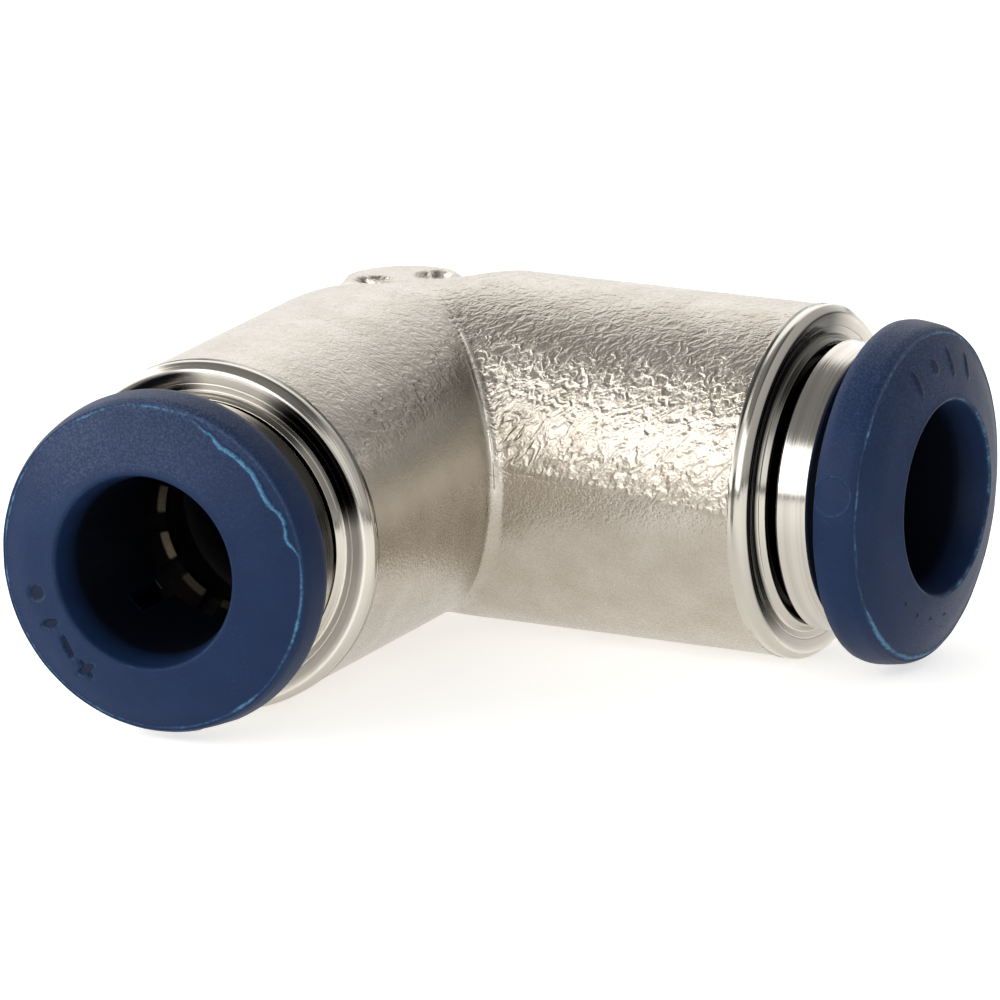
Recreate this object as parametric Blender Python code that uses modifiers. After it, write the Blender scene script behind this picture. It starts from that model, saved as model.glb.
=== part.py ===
"""A 90 degree push-to-connect elbow for 6.35 mm (1/4 in) air tube, in metres, +Z up.

Both ports lie in one level plane: port A opens along +X and port B along -Y. Their axes cross
right above the origin, which is the middle of the flat pad under the elbow. Each port holds, from
the elbow outwards, an O-ring, a backup ring, a toothed grab ring, a guide ring pressed into the
mouth, and a release collet that slides in the guide ring.
"""

import math

import bmesh
import bpy
from mathutils import Matrix

MM = 0.001

# Driving dimensions, in millimetres. S is a distance along a port's axis from the crossing.
TUBE_BORE_R = 3.25
PASSAGE_R = 2.40
PASSAGE_BACK = 1.70
TUBE_STOP_S = 5.00
TUBE_LEAD_IN = 0.35
CHAMBER_R = 5.00
CHAMBER_S = 9.30

AXIS_HEIGHT = 5.83
WAIST_R = 5.56
BARREL_R = 6.33
BARREL_DRAFT = 0.04
LAND_R = 6.40
LAND_STEP = 0.05
ROUGH_END_S = 15.58
MOUTH_S = 16.56
MOUTH_R = 5.13
MOUTH_CHAMFER = 0.50
MOUTH_LIP = 0.05
FACE_INNER = (5.38, 16.20)
FACE_OUTER = (5.94, 16.32)
SHOULDER_ROUND = 0.36
WAIST_LENGTH = 4.70
WAIST_POINTS = 4

PAD_R = 2.05
PAD_BASE_R = 2.40
PAD_DEPTH = 1.60
TOP_PAD_OUT = 1.10
TOP_PAD_HEIGHT = 5.54
TOP_PAD_TILT = math.radians(5.8)

GUIDE_BACK_S = 16.98
GUIDE_FRONT_S = 18.18
GUIDE_BACK_R = 5.27
GUIDE_FRONT_R = 5.13
GUIDE_EDGE = 0.11
NECK_R = 4.87
NECK_GROOVE = 0.27
NECK_S = 14.45
SHOULDER_S = 16.37
SHOULDER_SLOPE = 0.20
SLEEVE_R = 4.10
BARB_R = 4.42
SLIDE_GAP = 0.13

GRAB_S = 14.00
GRAB_THICK = 0.27
GRAB_R = 4.92
TOOTH_ROOT_R = 4.28
TOOTH_TIP_R = 3.14
TOOTH_DROP = 0.70
TOOTH_COUNT = 12
TOOTH_GAP_ANGLE = math.radians(12.0)
TOOTH_PHASE = math.radians(7.7)

BACKUP_S = 11.30
BACKUP_R = 4.87
BACKUP_BORE_R = 3.60
BACKUP_TOP_S = 13.85
BACKUP_DISH = 1.00
O_RING_S = 10.30
O_RING_MEAN_R = 4.05
O_RING_CORD_R = 0.83
O_RING_SIDES = 12

# The collet's flange as (radius, height above its back), from the back to the rim's crease.
FLANGE_SIDE = [(5.96, 0.0), (6.19, 0.16), (6.22, 0.53), (6.14, 0.98), (6.08, 1.40)]
RIM = (5.90, 1.60)
CONE = (4.97, 2.03)
NOSE_RISE = 2.45
NOSE_ROUND = 0.36
FLANGE_BACK_S = 19.42
SLEEVE_END = 4.05
BARB_HEIGHTS = (0.77, 0.66, 0.43)
SLEEVE_TAPER = 0.15
SLOT_COUNT = 4
SLOT_WIDTH = 0.85
SLOT_END = 1.50
SLOT_PHASE = math.radians(45.0)

# How far each collet stands in from its outer stop.
COLLET_IN = {"a": 0.56, "b": 0.18}
# Each port's turn from +Z to its own axis.
PORT_TURN = {
    "a": Matrix.Rotation(math.radians(90), 4, "Y"),
    "b": Matrix.Rotation(math.radians(90), 4, "X"),
}

BODY_STEPS = 44
RING_STEPS = 36
BALL_RINGS = 22
# The knuckle is turned a little, so that none of its edges lies along a barrel's.
KNUCKLE_TURN = math.radians(2.0)
# How far a cutter runs past the solid it cuts.
PAST = 1.00
# Where a spoke-like cutter starts, from the axis.
SPOKE_START = 2.00

NICKEL = ((0.62, 0.59, 0.54), 0.34, 1.0)
TURNED_NICKEL = ((0.70, 0.68, 0.64), 0.16, 1.0)
STEEL = ((0.55, 0.50, 0.43), 0.30, 1.0)
NAVY = ((0.022, 0.045, 0.130), 0.42, 0.0)
SEAL_BLACK = ((0.015, 0.015, 0.016), 0.55, 0.0)
ACETAL_BLACK = ((0.018, 0.018, 0.019), 0.42, 0.0)


def clear_scene():
    for old in list(bpy.data.objects):
        bpy.data.objects.remove(old, do_unlink=True)


def new_collection(name):
    made = bpy.data.collections.new(name)
    bpy.context.scene.collection.children.link(made)
    return made


def material(name, look):
    colour, roughness, metallic = look
    made = bpy.data.materials.new(name)
    made.use_nodes = True
    shader = made.node_tree.nodes["Principled BSDF"]
    shader.inputs["Base Color"].default_value = (*colour, 1.0)
    shader.inputs["Roughness"].default_value = roughness
    shader.inputs["Metallic"].default_value = metallic
    made.diffuse_color = (*colour, 1.0)
    return made


def arc(centre, radius, start, end, count):
    """Points on an arc of the profile plane, angles in degrees from the radial direction."""
    points = []
    for i in range(count + 1):
        angle = math.radians(start + (end - start) * i / count)
        points.append((centre[0] + radius * math.cos(angle), centre[1] + radius * math.sin(angle)))
    return points


def turned(name, profile, collection, closed, steps):
    """A profile of (radius, height) in millimetres, turned about Z. It runs down its outer side."""
    mesh = bpy.data.meshes.new(name)
    points = [(radius * MM, 0.0, height * MM) for radius, height in profile]
    edges = [(i, i + 1) for i in range(len(points) - 1)]
    if closed:
        edges.append((len(points) - 1, 0))
    mesh.from_pydata(points, edges, [])
    made = bpy.data.objects.new(name, mesh)
    collection.objects.link(made)
    screw = made.modifiers.new("Turn", "SCREW")
    screw.steps = steps
    screw.render_steps = steps
    screw.use_merge_vertices = True
    screw.merge_threshold = 1e-6
    screw.use_smooth_shade = True
    return made


def from_bmesh(name, shape, collection):
    mesh = bpy.data.meshes.new(name)
    shape.to_mesh(mesh)
    shape.free()
    made = bpy.data.objects.new(name, mesh)
    collection.objects.link(made)
    return made


def spokes(name, collection, count, size, height, phase):
    """Square-ended cutters set round Z like spokes, in one mesh. Sizes are in millimetres."""
    shape = bmesh.new()
    distance = SPOKE_START + size[0] / 2
    for i in range(count):
        turn = Matrix.Rotation(phase + math.tau * i / count, 4, "Z")
        place = Matrix.Translation((distance * MM, 0.0, height * MM))
        scale = Matrix.Diagonal((size[0] * MM, size[1] * MM, size[2] * MM, 1.0))
        bmesh.ops.create_cube(shape, size=1.0, matrix=turn @ place @ scale)
    return from_bmesh(name, shape, collection)


def ball(name, collection, radius):
    shape = bmesh.new()
    bmesh.ops.create_uvsphere(
        shape, u_segments=BODY_STEPS, v_segments=BALL_RINGS, radius=radius * MM
    )
    return from_bmesh(name, shape, collection)


def pad(name, collection, top):
    """A round boss with sloped sides and a flat top, set about Z."""
    shape = bmesh.new()
    bmesh.ops.create_cone(
        shape,
        cap_ends=True,
        segments=RING_STEPS,
        radius1=PAD_BASE_R * MM,
        radius2=PAD_R * MM,
        depth=PAD_DEPTH * MM,
        matrix=Matrix.Translation((0.0, 0.0, (top - PAD_DEPTH / 2) * MM)),
    )
    return from_bmesh(name, shape, collection)


def helper(piece):
    piece.hide_render = True
    piece.display_type = "WIRE"


def combine(target, other, operation):
    helper(other)
    step = target.modifiers.new(f"{operation.title()} {other.name}", "BOOLEAN")
    step.operation = operation
    step.solver = "EXACT"
    step.object = other


def barrel_profile():
    """One arm's outside, from the mouth down to the waist at the crossing, closed on the axis."""
    face = [(0.0, MOUTH_S), (MOUTH_R, MOUTH_S), FACE_INNER, FACE_OUTER]
    centre = (LAND_R - SHOULDER_ROUND, FACE_OUTER[1] - SHOULDER_ROUND)
    shoulder = arc(centre, SHOULDER_ROUND, 70, 0, 3)
    rough = [(LAND_R, ROUGH_END_S + LAND_STEP), (BARREL_R, ROUGH_END_S)]
    start_r = BARREL_R - BARREL_DRAFT
    waist = []
    for i in range(WAIST_POINTS + 1):
        share = 1 - i / WAIST_POINTS
        rise = share * share * (3 - 2 * share)
        radius = WAIST_R - BARREL_DRAFT + (start_r + BARREL_DRAFT - WAIST_R) * rise
        waist.append((radius, WAIST_LENGTH * share))
    return face + shoulder + rough + waist + [(0.0, 0.0)]


def bore_profile():
    """The hollow of one arm: mouth, seal chamber, tube pocket, tube stop and passage."""
    edge_r = MOUTH_R - MOUTH_LIP
    return [
        (0.0, MOUTH_S + MOUTH_CHAMFER),
        (edge_r + MOUTH_CHAMFER, MOUTH_S + MOUTH_CHAMFER),
        (CHAMBER_R, MOUTH_S - (edge_r - CHAMBER_R)),
        (CHAMBER_R, CHAMBER_S),
        (TUBE_BORE_R + TUBE_LEAD_IN, CHAMBER_S),
        (TUBE_BORE_R, CHAMBER_S - TUBE_LEAD_IN),
        (TUBE_BORE_R, TUBE_STOP_S),
        (PASSAGE_R, TUBE_STOP_S),
        (PASSAGE_R, -PASSAGE_BACK),
        (0.0, -PASSAGE_BACK),
    ]


def elbow_body(parts, cutters, centre):
    body = turned("elbow_body", barrel_profile(), parts, False, BODY_STEPS)
    body.matrix_world = centre @ PORT_TURN["a"]
    arm = turned("arm_b", barrel_profile(), cutters, False, BODY_STEPS)
    arm.matrix_world = centre @ PORT_TURN["b"]
    combine(body, arm, "UNION")
    knuckle = ball("knuckle", cutters, WAIST_R)
    knuckle.matrix_world = centre @ Matrix.Rotation(KNUCKLE_TURN, 4, "Z")
    combine(body, knuckle, "UNION")
    top = pad("top_pad", cutters, TOP_PAD_HEIGHT)
    out = TOP_PAD_OUT * MM / math.sqrt(2)
    tilt = Matrix.Rotation(-TOP_PAD_TILT, 4, (1, 1, 0))
    top.matrix_world = centre @ Matrix.Translation((-out, out, 0.0)) @ tilt
    combine(body, top, "UNION")
    foot = pad("foot_pad", cutters, AXIS_HEIGHT)
    foot.matrix_world = centre @ Matrix.Rotation(math.pi, 4, "X")
    combine(body, foot, "UNION")
    for port, turn in PORT_TURN.items():
        bore = turned(f"bore_{port}", bore_profile(), cutters, False, BODY_STEPS)
        bore.matrix_world = centre @ turn
        combine(body, bore, "DIFFERENCE")
    return body


def guide_ring(port, parts):
    """The turned metal ring that shows behind the collet, with the neck pressed in the mouth."""
    inner_r = SLEEVE_R + SLIDE_GAP
    barb_room_r = BARB_R + SLIDE_GAP
    profile = [
        (inner_r, GUIDE_FRONT_S),
        (GUIDE_FRONT_R - GUIDE_EDGE, GUIDE_FRONT_S),
        (GUIDE_FRONT_R, GUIDE_FRONT_S - GUIDE_EDGE),
        (GUIDE_BACK_R, GUIDE_BACK_S + GUIDE_EDGE),
        (GUIDE_BACK_R - GUIDE_EDGE, GUIDE_BACK_S),
        (NECK_R - NECK_GROOVE, GUIDE_BACK_S),
        (NECK_R - NECK_GROOVE, SHOULDER_S),
        (NECK_R, SHOULDER_S - NECK_GROOVE),
        (NECK_R, NECK_S),
        (barb_room_r, NECK_S),
        (barb_room_r, SHOULDER_S - SHOULDER_SLOPE),
        (inner_r, SHOULDER_S),
    ]
    return turned(f"guide_ring_{port}", profile, parts, True, BODY_STEPS)


def grab_ring(port, parts, cutters):
    """A thin spring washer whose teeth lean in towards the elbow."""
    high = GRAB_S + GRAB_THICK
    profile = [
        (GRAB_R, high),
        (GRAB_R, GRAB_S),
        (TOOTH_ROOT_R, GRAB_S),
        (TOOTH_TIP_R, GRAB_S - TOOTH_DROP),
        (TOOTH_TIP_R, high - TOOTH_DROP),
        (TOOTH_ROOT_R, high),
    ]
    ring = turned(f"grab_ring_{port}", profile, parts, True, RING_STEPS)
    width = 2 * TOOTH_TIP_R * math.sin(TOOTH_GAP_ANGLE / 2)
    size = (TOOTH_ROOT_R - SPOKE_START, width, 2 * (TOOTH_DROP + PAST))
    gaps = spokes(f"tooth_gaps_{port}", cutters, TOOTH_COUNT, size, GRAB_S, TOOTH_PHASE)
    combine(ring, gaps, "DIFFERENCE")
    return ring, gaps


def backup_ring(port, parts):
    """The plastic washer behind the seal, dished to give the teeth room to flex."""
    profile = [
        (BACKUP_R, BACKUP_TOP_S),
        (BACKUP_R, BACKUP_S),
        (BACKUP_BORE_R, BACKUP_S),
        (BACKUP_BORE_R, BACKUP_TOP_S - BACKUP_DISH),
        (TOOTH_ROOT_R, BACKUP_TOP_S),
    ]
    return turned(f"backup_ring_{port}", profile, parts, True, RING_STEPS)


def o_ring(port, parts):
    last = 360 / O_RING_SIDES
    profile = arc((O_RING_MEAN_R, O_RING_S), O_RING_CORD_R, 360, last, O_RING_SIDES - 1)
    return turned(f"o_ring_{port}", profile, parts, True, RING_STEPS)


def collet_profile():
    """The release collet, with height 0 at the back of its flange."""
    mouth_z = NOSE_RISE - NOSE_ROUND
    mouth = arc((TUBE_BORE_R + NOSE_ROUND, mouth_z), NOSE_ROUND, 180, 70, 4)
    barb_high, barb_low, barb_foot = [rise - SLEEVE_END for rise in BARB_HEIGHTS]
    sleeve = [
        (SLEEVE_R, 0.0),
        (SLEEVE_R, barb_high),
        (BARB_R, barb_low),
        (BARB_R, barb_foot),
        (SLEEVE_R - SLEEVE_TAPER, -SLEEVE_END),
        (TUBE_BORE_R, -SLEEVE_END),
    ]
    return mouth + [CONE, RIM] + FLANGE_SIDE[::-1] + sleeve


def release_collet(port, parts, cutters):
    """The navy sleeve and flange. Four slots let its barbed end snap into the guide ring."""
    collet = turned(f"release_collet_{port}", collet_profile(), parts, True, BODY_STEPS)
    size = (BARB_R + PAST - SPOKE_START, SLOT_WIDTH, SLEEVE_END - SLOT_END + PAST)
    height = size[2] / 2 - SLEEVE_END - PAST
    cuts = spokes(f"collet_slots_{port}", cutters, SLOT_COUNT, size, height, SLOT_PHASE)
    combine(collet, cuts, "DIFFERENCE")
    return collet, cuts


def main():
    clear_scene()
    parts = new_collection("push_to_connect_fitting")
    cutters = new_collection("cutters")
    centre = Matrix.Translation((0.0, 0.0, AXIS_HEIGHT * MM))
    rough_nickel = material("rough_nickel", NICKEL)
    turned_nickel = material("turned_nickel", TURNED_NICKEL)
    steel = material("spring_steel", STEEL)
    navy = material("navy_plastic", NAVY)
    seal = material("black_seal", SEAL_BLACK)
    acetal = material("black_acetal", ACETAL_BLACK)
    body = elbow_body(parts, cutters, centre)
    body.data.materials.append(rough_nickel)
    for port, turn in PORT_TURN.items():
        axis = centre @ turn
        guide = guide_ring(port, parts)
        guide.matrix_world = axis
        guide.data.materials.append(turned_nickel)
        grab, gaps = grab_ring(port, parts, cutters)
        grab.matrix_world = axis
        gaps.matrix_world = axis
        grab.data.materials.append(steel)
        backup = backup_ring(port, parts)
        backup.matrix_world = axis
        backup.data.materials.append(acetal)
        seal_ring = o_ring(port, parts)
        seal_ring.matrix_world = axis
        seal_ring.data.materials.append(seal)
        collet, cuts = release_collet(port, parts, cutters)
        stand = Matrix.Translation((0.0, 0.0, (FLANGE_BACK_S - COLLET_IN[port]) * MM))
        collet.matrix_world = axis @ stand
        cuts.matrix_world = axis @ stand
        collet.data.materials.append(navy)


main()
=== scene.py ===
"""The looks of a right-angle push-to-connect fitting.

Rough forged nickel, bright turned rings and navy release collets. Shapes are worked out in
millimetres, round the point where the two port axes cross. The frame's boxes are in metres.
"""

import math
from functools import partial
from types import SimpleNamespace

import bmesh
import bpy
import numpy as np
from mathutils import Matrix, Vector


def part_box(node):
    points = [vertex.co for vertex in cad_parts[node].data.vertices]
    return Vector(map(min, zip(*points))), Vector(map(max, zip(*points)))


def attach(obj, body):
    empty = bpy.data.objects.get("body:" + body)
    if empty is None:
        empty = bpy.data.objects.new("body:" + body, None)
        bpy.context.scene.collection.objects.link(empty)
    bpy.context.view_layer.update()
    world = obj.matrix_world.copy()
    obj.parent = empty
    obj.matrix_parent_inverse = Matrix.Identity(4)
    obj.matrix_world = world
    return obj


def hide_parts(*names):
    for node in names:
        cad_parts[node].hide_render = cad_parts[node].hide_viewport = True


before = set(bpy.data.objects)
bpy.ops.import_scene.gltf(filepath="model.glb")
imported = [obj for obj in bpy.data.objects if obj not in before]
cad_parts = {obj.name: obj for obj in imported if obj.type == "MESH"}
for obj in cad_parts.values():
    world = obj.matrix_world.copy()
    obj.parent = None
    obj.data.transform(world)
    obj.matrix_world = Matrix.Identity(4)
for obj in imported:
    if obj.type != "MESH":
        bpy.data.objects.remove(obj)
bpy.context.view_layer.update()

MM = 0.001
PORTS = ("a", "b")

# The two port axes cross at AXIS_Z. S is a distance along a port from there.
BODY_LOW, BODY_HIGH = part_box("elbow_body")
LAND_R = 6.40
AXIS_Z = BODY_HIGH.z / MM - LAND_R

# The forged elbow.
BARREL_R = 6.27
BARREL_DRAFT = 0.0065
WAIST_R = 5.56
WAIST_S = 3.90
CREASE_FILLET = 0.30
ROUGH_END_S = 15.58
PASSAGE_R = 2.40
PAD_R = 1.95
PAD_OUT = 1.15
PAD_TOP = 5.56
PAD_TILT = math.tan(math.radians(4.5))

# How many points round a barrel, and how many rows along its skin.
COLUMNS = 420
SKIN_ROWS = 230
BORE_ROWS = 14

# The forged strands lean this far up from a port's axis.
STRAND_LEAN = math.radians(51.5)

# The turned rings, the seals and the collets.
GUIDE_BACK_S = 16.98
GUIDE_FRONT_S = 18.18
TUBE_BORE_R = 3.25
COLLET_LENGTH = 4.05
NOSE_RISE = 2.45
RIM_R = 5.90
EJECTOR_R = 0.72
TOOTH_TIP_R = 3.14
TOOTH_ROOT_R = 4.28
TEETH = 12
O_RING_R = 4.05
O_RING_CORD_R = 0.83
O_RING_S = 10.30
SLOTS = 4
SLOT_WIDTH = 0.85
SHARP_ANGLE = math.radians(40)

# A near-black colour painted as shade into hidden grooves, gaps and bores, and as painted dark
# reflections on parts of the mouths.
PAINTED_SHADE_COLOUR = (0.006, 0.0048, 0.0036, 1.0)

# The studio, in metres: how far the floor lies under the part, and how far it reaches.
FLOOR_GAP = 0.00005
FLOOR_REACH = 3.0
LIGHT_STRENGTH = 4.0

# The camera: its angles in degrees, its distance in metres and the photograph's scale.
CAMERA_TURN, CAMERA_RISE, CAMERA_ROLL = 26.2, 14.8, -0.17
CAMERA_DISTANCE = 1.5
PIXELS_PER_METRE = 27813.0
PHOTO_PIXELS = 1000
SENSOR = 36.0
# How far the picture's middle lies to the right of the axes' crossing, and below it.
AIM_RIGHT, AIM_DOWN = 3.128, 2.427


# ---------------------------------------------------------------- noise

def hashed(x, y, z, seed):
    """A fixed pseudo-random number from -1 to 1 for each whole-number point."""
    n = x * 374761393 + y * 668265263 + z * 2147483647 + seed * 1274126177
    n = (n ^ (n >> 13)) & 0x7FFFFFFF
    n = (n * 1103515245 + 12345) & 0x7FFFFFFF
    n = (n ^ (n >> 16)) & 0xFFFF
    return n / 32767.5 - 1.0


def noise(points, seed=0):
    """Smooth gradient noise, about -1 to 1, at each point of an (..., 3) array."""
    cell = np.floor(points).astype(np.int64)
    part = points - cell
    fade = part * part * part * (part * (part * 6 - 15) + 10)
    total = np.zeros(points.shape[:-1])
    for dx in (0, 1):
        for dy in (0, 1):
            for dz in (0, 1):
                corner = cell + np.array([dx, dy, dz])
                slope = [hashed(*np.moveaxis(corner, -1, 0), seed + k) for k in (11, 23, 37)]
                offset = part - np.array([dx, dy, dz])
                value = sum(slope[k] * offset[..., k] for k in range(3))
                wx = fade[..., 0] if dx else 1 - fade[..., 0]
                wy = fade[..., 1] if dy else 1 - fade[..., 1]
                wz = fade[..., 2] if dz else 1 - fade[..., 2]
                total += value * wx * wy * wz
    return total * 1.3


def round_noise(angle, waves, seed):
    """Noise round a circle, about -1 to 1, that meets itself."""
    reach = waves / math.tau
    ring = np.stack([np.cos(angle) * reach, np.sin(angle) * reach, np.full_like(angle, 0.5)], -1)
    return noise(ring + 20.0, seed)


def smooth_step(value, low, high):
    t = np.clip((value - low) / (high - low), 0.0, 1.0)
    return t * t * (3 - 2 * t)


# ---------------------------------------------------------------- meshes

def place(port, x, y, z):
    """Points of port A's frame, in millimetres, put on port A or mirrored onto port B."""
    if port == "b":
        x, y = -y, -x
    return np.stack([x, y, z + AXIS_Z], -1)


def rounded(corners, most=0.12):
    """A profile through rounded (radius, s, fillet) corners, its points at most this far apart."""
    points = []
    for i, (r, s, fillet) in enumerate(corners):
        here = np.array([r, s])
        if fillet == 0 or i in (0, len(corners) - 1):
            points.append(here)
            continue
        before = np.array(corners[i - 1][:2]) - here
        after = np.array(corners[i + 1][:2]) - here
        reach = min(fillet, 0.48 * np.linalg.norm(before), 0.48 * np.linalg.norm(after))
        start = here + before / np.linalg.norm(before) * reach
        end = here + after / np.linalg.norm(after) * reach
        for k in range(7):
            t = k / 6
            points.append(start * (1 - t) ** 2 + here * 2 * t * (1 - t) + end * t * t)
    dense = [points[0]]
    for point in points[1:]:
        step = np.linalg.norm(point - dense[-1])
        count = max(1, math.ceil(step / most))
        last = dense[-1]
        dense += [last + (point - last) * (k + 1) / count for k in range(count)]
    return np.array(dense)


def grid_faces(rows, columns, close_rows, flip, base=0):
    """Quads of a grid of points whose columns close round; the rows may close too."""
    row = np.arange(rows if close_rows else rows - 1)[:, None]
    col = np.arange(columns)[None, :]
    after = (row + 1) % rows
    right = (col + 1) % columns
    here, there = row * columns, after * columns
    quads = np.stack([here + col, here + right, there + right, there + col], -1).reshape(-1, 4)
    return (quads[:, ::-1] if flip else quads) + base


def new_piece(name, points, faces, values=None):
    """A smooth mesh object from points in millimetres, with named numbers at its points."""
    mesh = bpy.data.meshes.new(name)
    mesh.from_pydata((points * MM).tolist(), [], faces.tolist())
    for key, value in (values or {}).items():
        vector = np.shape(value)[-1:] == (3,)
        layer = mesh.attributes.new(key, "FLOAT_VECTOR" if vector else "FLOAT", "POINT")
        field = "vector" if vector else "value"
        layer.data.foreach_set(field, np.ascontiguousarray(value, np.float32).ravel())
    mesh.polygons.foreach_set("use_smooth", np.ones(len(mesh.polygons), bool))
    mesh.update()
    made = bpy.data.objects.new(name, mesh)
    bpy.context.scene.collection.objects.link(made)
    return made


def face_outwards(piece):
    shape = bmesh.new()
    shape.from_mesh(piece.data)
    bmesh.ops.recalc_face_normals(shape, faces=shape.faces)
    shape.to_mesh(piece.data)
    shape.free()


def turned_piece(name, port, profile, columns, lift=None, extra=None):
    """A closed profile turned about a port's axis.

    lift(angle, r, s) gives the changes of radius and of s. extra(angle, r, s) gives named values.
    """
    angle = np.arange(columns) / columns * math.tau
    angle, r = np.meshgrid(angle, profile[:, 0])
    s = np.repeat(profile[:, 1][:, None], columns, 1)
    run = np.concatenate([[0.0], np.cumsum(np.linalg.norm(np.diff(profile, axis=0), axis=1))])
    values = {"lathe": np.repeat(run[:, None], columns, 1)}
    if extra:
        values.update(extra(angle, r, s))
    if lift:
        dr, ds = lift(angle, r, s)
        r, s = r + dr, s + ds
    points = place(port, s, r * np.cos(angle), r * np.sin(angle)).reshape(-1, 3)
    piece = new_piece(name, points, grid_faces(len(profile), columns, True, False), values)
    face_outwards(piece)
    return piece


def spokes(port, count, near, far, width, low, high, phase):
    """Square cutters round a port's axis, like spokes, from s = low to s = high."""
    shape = bmesh.new()
    for i in range(count):
        turn = phase + math.tau * i / count
        made = bmesh.ops.create_cube(shape, size=1.0)
        for vertex in made["verts"]:
            reach = near + (vertex.co.x + 0.5) * (far - near)
            side = vertex.co.y * width
            s = low + (vertex.co.z + 0.5) * (high - low)
            y = reach * math.cos(turn) - side * math.sin(turn)
            z = reach * math.sin(turn) + side * math.cos(turn)
            vertex.co = Vector(place(port, np.array(s), np.array(y), np.array(z))) * MM
    bmesh.ops.recalc_face_normals(shape, faces=shape.faces)
    mesh = bpy.data.meshes.new("spokes")
    shape.to_mesh(mesh)
    shape.free()
    cutter = bpy.data.objects.new("spokes", mesh)
    bpy.context.scene.collection.objects.link(cutter)
    return cutter


def cut(piece, cutter):
    """Cuts with an exact Boolean, applies it and removes the cutter."""
    step = piece.modifiers.new("Cut", "BOOLEAN")
    step.object = cutter
    step.solver = "EXACT"
    graph = bpy.context.evaluated_depsgraph_get()
    result = bpy.data.meshes.new_from_object(piece.evaluated_get(graph))
    piece.modifiers.remove(step)
    piece.data = result
    bpy.data.objects.remove(cutter, do_unlink=True)
    for polygon in result.polygons:
        polygon.use_smooth = True
    result.set_sharp_from_angle(angle=SHARP_ANGLE)


# ---------------------------------------------------------------- materials

class Nodes:
    """A short way to add shader nodes and link them."""

    def __init__(self, name):
        self.material = bpy.data.materials.new(name)
        self.material.use_nodes = True
        self.tree = self.material.node_tree
        self.shader = self.tree.nodes["Principled BSDF"]

    def add(self, kind, settings=None, **inputs):
        made = self.tree.nodes.new(kind)
        for key, value in (settings or {}).items():
            setattr(made, key, value)
        for key, value in inputs.items():
            self.feed(made.inputs[key.replace("_", " ")], value)
        return made

    def feed(self, socket, value):
        if isinstance(value, bpy.types.NodeSocket):
            self.tree.links.new(value, socket)
        else:
            socket.default_value = value

    def math(self, operation, *values):
        made = self.tree.nodes.new("ShaderNodeMath")
        made.operation = operation
        for socket, value in zip(made.inputs, values):
            self.feed(socket, value)
        return made.outputs[0]

    def ramp(self, value, *stops):
        made = self.tree.nodes.new("ShaderNodeValToRGB")
        self.feed(made.inputs[0], value)
        elements = made.color_ramp.elements
        while len(elements) < len(stops):
            elements.new(0.5)
        for element, (at, colour) in zip(elements, stops):
            element.position = at
            element.color = colour if len(colour) == 4 else (*colour, 1.0)
        return made.outputs[0]

    def mix(self, share, first, second):
        made = self.tree.nodes.new("ShaderNodeMix")
        made.data_type = "RGBA"
        self.feed(made.inputs[0], share)
        self.feed(made.inputs[6], first)
        self.feed(made.inputs[7], second)
        return made.outputs[2]

    def noise(self, size, detail=2.0, stretch=(1.0, 1.0, 1.0)):
        """3-D noise with grains of about this size in millimetres."""
        place_at = self.add("ShaderNodeTexCoord").outputs["Object"]
        scaled = self.add("ShaderNodeMapping", Vector=place_at)
        scaled.inputs["Scale"].default_value = [k / (size * MM) for k in stretch]
        made = self.add("ShaderNodeTexNoise", Vector=scaled.outputs[0], Scale=1.0, Detail=detail)
        return made.outputs[0]

    def bump(self, height, depth, normal=None):
        """Bump of this depth in millimetres where the height goes from 0 to 1."""
        made = self.add("ShaderNodeBump", Height=height, Distance=depth * MM, Strength=1.0)
        if normal:
            self.feed(made.inputs["Normal"], normal)
        return made.outputs[0]

    def set(self, **values):
        for key, value in values.items():
            self.feed(self.shader.inputs[key.replace("_", " ")], value)
        return self.material


def grey(value):
    return (value, value, value)


def attribute(nodes, name, output="Fac"):
    """A number, or a vector, that new_piece stored at the mesh's points."""
    made = nodes.tree.nodes.new("ShaderNodeAttribute")
    made.attribute_name = name
    return made.outputs[output]


def turning_lines(nodes, pitch):
    """Fine uneven rings from a lathe tool, from the distance run along the turned profile."""
    run = attribute(nodes, "lathe")
    made = nodes.add("ShaderNodeTexNoise", {"noise_dimensions": "1D"}, Detail=3.0, Scale=1.0)
    nodes.feed(made.inputs["W"], nodes.math("DIVIDE", run, pitch))
    return made.outputs[0]


def forged_strands(nodes, length, width):
    """Worm-like ridges of the forged skin, 0 to 1, that lean outwards and up on both arms."""
    arm = attribute(nodes, "arm", "Vector")
    turned = nodes.add("ShaderNodeMapping", Vector=arm)
    turned.inputs["Rotation"].default_value = (0.0, STRAND_LEAN, 0.0)
    scaled = nodes.add("ShaderNodeMapping", Vector=turned.outputs[0])
    scaled.inputs["Scale"].default_value = (1 / length, 1 / width, 1 / width)
    made = nodes.add(
        "ShaderNodeTexNoise", Vector=scaled.outputs[0], Scale=1.0, Detail=1.5, Distortion=0.5
    )
    away = nodes.math("ABSOLUTE", nodes.math("SUBTRACT", made.outputs[0], 0.5))
    return nodes.math("SUBTRACT", 1.0, nodes.math("MULTIPLY", away, 4.0))


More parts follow.
